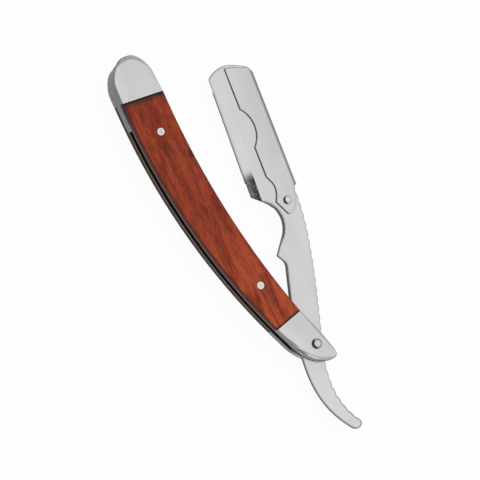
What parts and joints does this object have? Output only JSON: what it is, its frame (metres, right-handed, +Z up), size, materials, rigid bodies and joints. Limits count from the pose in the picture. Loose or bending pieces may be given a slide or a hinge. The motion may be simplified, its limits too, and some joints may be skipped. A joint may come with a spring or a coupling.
{
  "type": "folding shaving razor",
  "caption": "Folding shaving razor: curved handle with wood scales and steel bolsters, steel arm with finger recess and tail, and a swinging cover that holds a half blade.",
  "frame": {"origin": "on the back wood scale's flat face, midway along the handle", "axes": "+X along the handle from its head to its pivot, +Y to the handle's hollow side where the arm opens, +Z up through the thickness to the pictured side"},
  "size_m": [0.171, 0.0596, 0.0111],
  "materials": {
    "red_wood": "oiled reddish hardwood with fine lengthwise grain",
    "polished_steel": "satin polished stainless steel",
    "brushed_steel": "plain brushed steel",
    "brass": "turned brass"
  },
  "bodies": {
    "handle": {"back_wood_scale": "red_wood", "front_wood_scale": "red_wood", "back_head_bolster": "polished_steel", "front_head_bolster": "polished_steel", "back_pivot_bolster": "polished_steel", "front_pivot_bolster": "polished_steel", "back_liner": "brushed_steel", "front_liner": "brushed_steel", "head_spacer": "brushed_steel", "spacer_dowel_1": "polished_steel", "spacer_dowel_2": "polished_steel", "back_upper_scale_pin": "polished_steel", "back_lower_scale_pin": "polished_steel", "front_upper_scale_pin": "polished_steel", "front_lower_scale_pin": "polished_steel", "pivot_rivet": "polished_steel", "pivot_collar": "polished_steel", "back_pivot_washer": "brass", "front_pivot_washer": "brass"},
    "arm": {"arm_plate": "polished_steel", "half_blade": "polished_steel", "holder_rivet": "polished_steel"},
    "cover": {"holder_cover": "polished_steel"}
  },
  "joints": [
    {"name": "arm_pivot", "type": "hinge", "parent": "handle", "child": "arm", "pos_m": [0.0625, 0.0065, 0.00517], "axis": [0, 0, 1], "range_deg": [-305, 18.5]},
    {"name": "cover_swing", "type": "hinge", "parent": "arm", "child": "cover", "pos_m": [0.01223, 0.03259, 0.00517], "axis": [0, 0, -1], "range_deg": [0, 75]}
  ]
}
